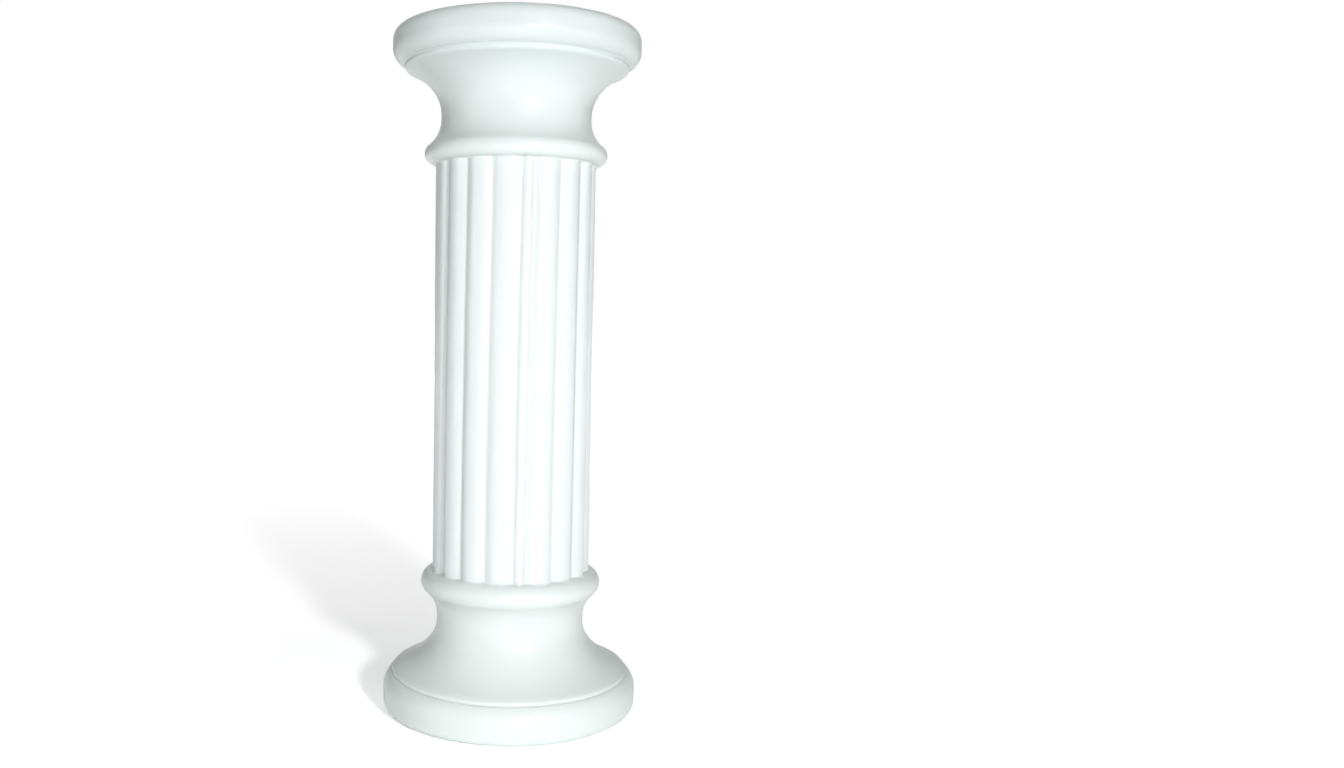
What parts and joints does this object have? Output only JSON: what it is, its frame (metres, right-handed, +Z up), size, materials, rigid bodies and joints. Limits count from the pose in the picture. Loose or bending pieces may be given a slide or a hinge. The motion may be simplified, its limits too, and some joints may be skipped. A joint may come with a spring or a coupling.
{
  "type": "miniature ribbed column",
  "caption": "Small one-piece moulded column that stands on its foot: round foot and capital with flared bells and rings, and a ribbed round shaft between.",
  "frame": {"origin": "centre of the flat underside of the foot", "axes": "+Z up along the column's axis, -Y towards the side with the narrow rib, +X to the right seen from that side"},
  "size_m": [0.0504, 0.0504, 0.133],
  "materials": {
    "foam_skin": "white moulded polyurethane foam with a smooth satin skin, very slightly cool and pale grey-green in the shade"
  },
  "bodies": {
    "root": {"column": "foam_skin"}
  },
  "joints": []
}
